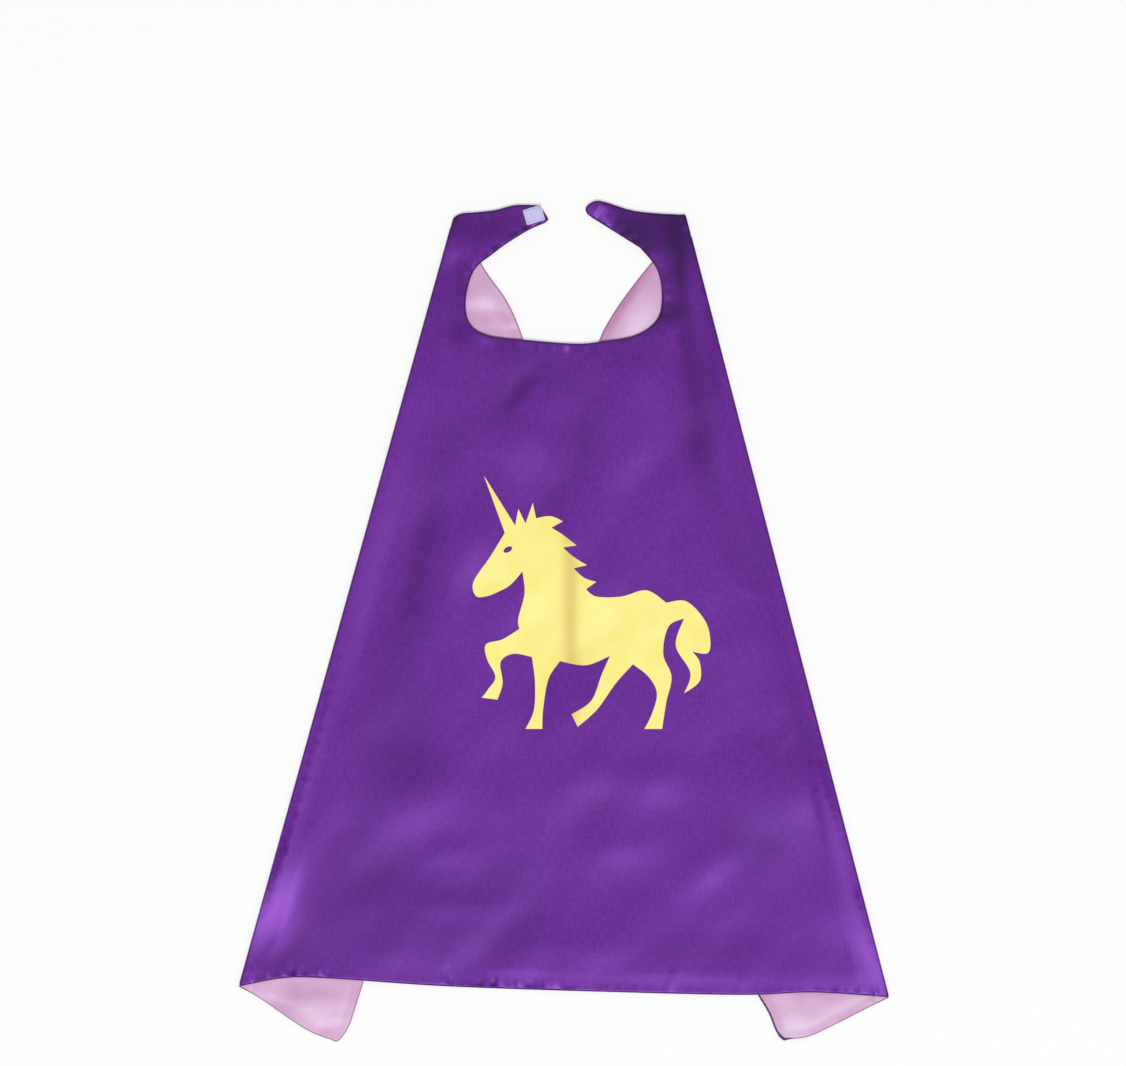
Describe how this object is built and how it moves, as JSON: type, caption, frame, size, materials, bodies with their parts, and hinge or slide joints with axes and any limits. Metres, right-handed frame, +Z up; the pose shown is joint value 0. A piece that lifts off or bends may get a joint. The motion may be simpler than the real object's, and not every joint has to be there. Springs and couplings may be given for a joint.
{
  "type": "children's costume cape",
  "caption": "Reversible satin costume cape for a child, laid flat with its front edges folded under; two neck tabs with hook-and-loop tape, foil emblem on the back.",
  "frame": {"origin": "under the middle of the cape's outline, on the surface it lies on", "axes": "+Z up out of the outer satin, +Y from the hem to the neck"},
  "size_m": [0.5804, 0.7512, 0.0055],
  "materials": {
    "purple_satin": "satin",
    "pink_lining": "satin",
    "gold_foil": "gloss",
    "lavender_tape": "matte",
    "purple_thread": "matte",
    "lavender_thread": "matte"
  },
  "bodies": {
    "back": {"back_satin": "purple_satin", "back_lining": "pink_lining", "emblem": "gold_foil", "hem_seam": "purple_thread", "neck_seam": "purple_thread", "left_shoulder_seam": "purple_thread", "right_shoulder_seam": "purple_thread"},
    "left_flap": {"left_flap_satin": "purple_satin", "left_flap_lining": "pink_lining", "left_front_seam": "purple_thread"},
    "right_flap": {"right_flap_satin": "purple_satin", "right_flap_lining": "pink_lining", "right_front_seam": "purple_thread"},
    "left_tab": {"left_tab_satin": "purple_satin", "left_tab_lining": "pink_lining", "left_tab_seam": "purple_thread", "hook_tape": "lavender_tape", "hook_stitches": "lavender_thread"},
    "right_tab": {"right_tab_satin": "purple_satin", "right_tab_lining": "pink_lining", "right_tab_seam": "purple_thread", "loop_tape": "lavender_tape", "loop_stitches": "lavender_thread"}
  },
  "joints": [
    {"name": "left_fold", "type": "hinge", "parent": "back", "child": "left_flap", "pos_m": [-0.19562, 0.01358, 0.002], "axis": [0.2688, 0.9632, 0], "range_deg": [0, 179.5]},
    {"name": "right_fold", "type": "hinge", "parent": "back", "child": "right_flap", "pos_m": [0.20202, 0.00453, 0.002], "axis": [0.2514, -0.9679, 0], "range_deg": [0, 179.5]},
    {"name": "left_tab_bend", "type": "hinge", "parent": "back", "child": "left_tab", "pos_m": [-0.07264, 0.34563, 0.0059], "axis": [0.388, -0.9216, 0], "range_deg": [0, 170]},
    {"name": "right_tab_bend", "type": "hinge", "parent": "back", "child": "right_tab", "pos_m": [0.07779, 0.34813, 0.0059], "axis": [0.5331, 0.846, 0], "range_deg": [0, 170]}
  ]
}
